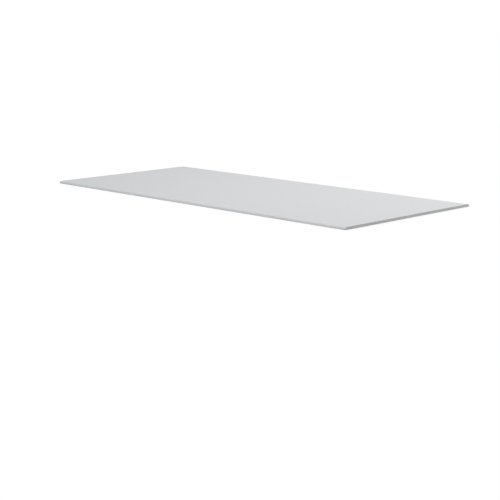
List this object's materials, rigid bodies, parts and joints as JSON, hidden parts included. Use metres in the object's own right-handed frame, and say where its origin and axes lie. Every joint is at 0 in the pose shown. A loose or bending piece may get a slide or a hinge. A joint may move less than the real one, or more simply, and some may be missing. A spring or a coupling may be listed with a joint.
{
  "type": "drywall sheet",
  "caption": "Flat tapered-edge gypsum board: paper-faced, with rounded, recessed long edges and square-cut ends.",
  "frame": {"origin": "middle of the back face, on the floor that the sheet lies on", "axes": "+X along the sheet's length, +Y across its width, +Z from the back up to the face"},
  "size_m": [2.7, 1.2, 0.016],
  "materials": {
    "lining_paper": "matte"
  },
  "bodies": {
    "root": {"drywall_sheet": "lining_paper"}
  },
  "joints": []
}
